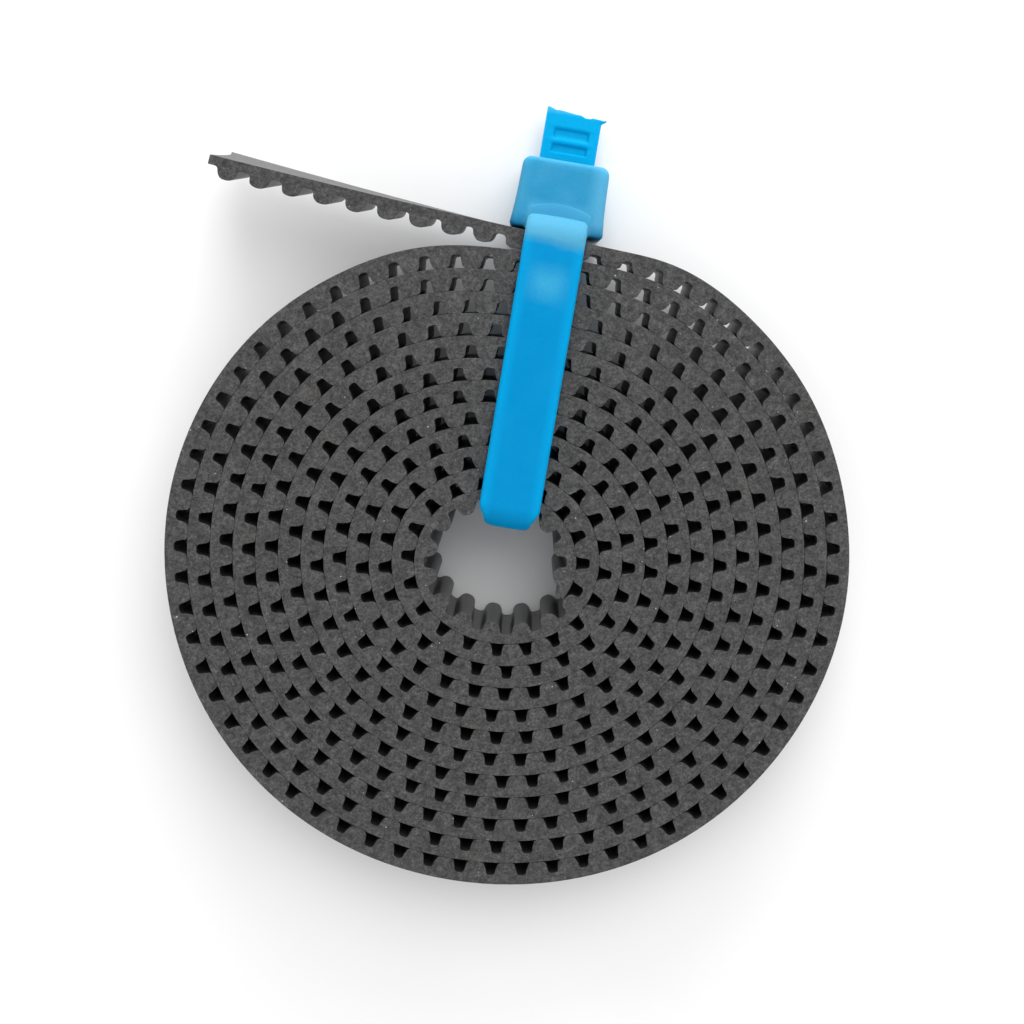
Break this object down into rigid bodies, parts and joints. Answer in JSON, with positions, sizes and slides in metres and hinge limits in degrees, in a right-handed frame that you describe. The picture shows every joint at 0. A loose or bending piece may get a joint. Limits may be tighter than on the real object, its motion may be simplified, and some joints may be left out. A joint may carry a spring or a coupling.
{
  "type": "timing belt",
  "caption": "Open-ended toothed belt wound flat into a round coil with a free tail, held through its hole by a cable tie.",
  "frame": {"origin": "under the middle of the whole object's box, on the surface it lies on", "axes": "+Z along the coil's axis, up from the side that lies down; +Y from the coil towards the cable tie's head, near enough; the belt's tail points to -X"},
  "size_m": [0.0422, 0.049, 0.0089],
  "materials": {
    "rubber": "matte moulded rubber with a fine cut grain on its edges",
    "tension_cord": "twisted glass fibre, dull off-white",
    "nylon": "satin, slightly translucent moulded nylon"
  },
  "bodies": {
    "coil": {"belt_coil_teeth": "rubber", "belt_coil_cords": "tension_cord", "belt_coil_backing": "rubber", "tie_strap": "nylon", "tie_head": "nylon"},
    "inner_end": {"belt_inner_end_teeth": "rubber", "belt_inner_end_cords": "tension_cord", "belt_inner_end_backing": "rubber"},
    "tail_1": {"belt_tail_1_teeth": "rubber", "belt_tail_1_cords": "tension_cord", "belt_tail_1_backing": "rubber"},
    "tail_2": {"belt_tail_2_teeth": "rubber", "belt_tail_2_cords": "tension_cord", "belt_tail_2_backing": "rubber"},
    "tail_3": {"belt_tail_3_teeth": "rubber", "belt_tail_3_cords": "tension_cord", "belt_tail_3_backing": "rubber"},
    "tail_4": {"belt_tail_4_teeth": "rubber", "belt_tail_4_cords": "tension_cord", "belt_tail_4_backing": "rubber"},
    "tail_5": {"belt_tail_5_teeth": "rubber", "belt_tail_5_cords": "tension_cord", "belt_tail_5_backing": "rubber"},
    "pawl": {"tie_pawl": "nylon"}
  },
  "joints": [
    {"name": "inner_end_bend", "type": "hinge", "parent": "coil", "child": "inner_end", "pos_m": [0.00346, -0.00225, 0.00495], "axis": [0, 0, -1], "range_deg": [0, 18]},
    {"name": "tail_bend_1", "type": "hinge", "parent": "coil", "child": "tail_1", "pos_m": [-0.00034, 0.0163, 0.00495], "axis": [0, 0, 1], "range_deg": [-12, 10]},
    {"name": "tail_bend_2", "type": "hinge", "parent": "tail_1", "child": "tail_2", "pos_m": [-0.00424, 0.01719, 0.00495], "axis": [0, 0, 1], "range_deg": [-12, 10]},
    {"name": "tail_bend_3", "type": "hinge", "parent": "tail_2", "child": "tail_3", "pos_m": [-0.00814, 0.01811, 0.00495], "axis": [0, 0, 1], "range_deg": [-12, 10]},
    {"name": "tail_bend_4", "type": "hinge", "parent": "tail_3", "child": "tail_4", "pos_m": [-0.01203, 0.01904, 0.00495], "axis": [0, 0, 1], "range_deg": [-12, 10]},
    {"name": "tail_bend_5", "type": "hinge", "parent": "tail_4", "child": "tail_5", "pos_m": [-0.01591, 0.02, 0.00495], "axis": [0, 0, 1], "range_deg": [-12, 10]},
    {"name": "pawl_flex", "type": "hinge", "parent": "coil", "child": "pawl", "pos_m": [0.00318, 0.01716, 0.00254], "axis": [0.9861, -0.1659, 0], "range_deg": [0, 10]}
  ],
  "couplings": [
    {"joint": "tail_bend_2", "follows": "tail_bend_1", "ratio": 1},
    {"joint": "tail_bend_3", "follows": "tail_bend_1", "ratio": 1},
    {"joint": "tail_bend_4", "follows": "tail_bend_1", "ratio": 1},
    {"joint": "tail_bend_5", "follows": "tail_bend_1", "ratio": 1}
  ]
}
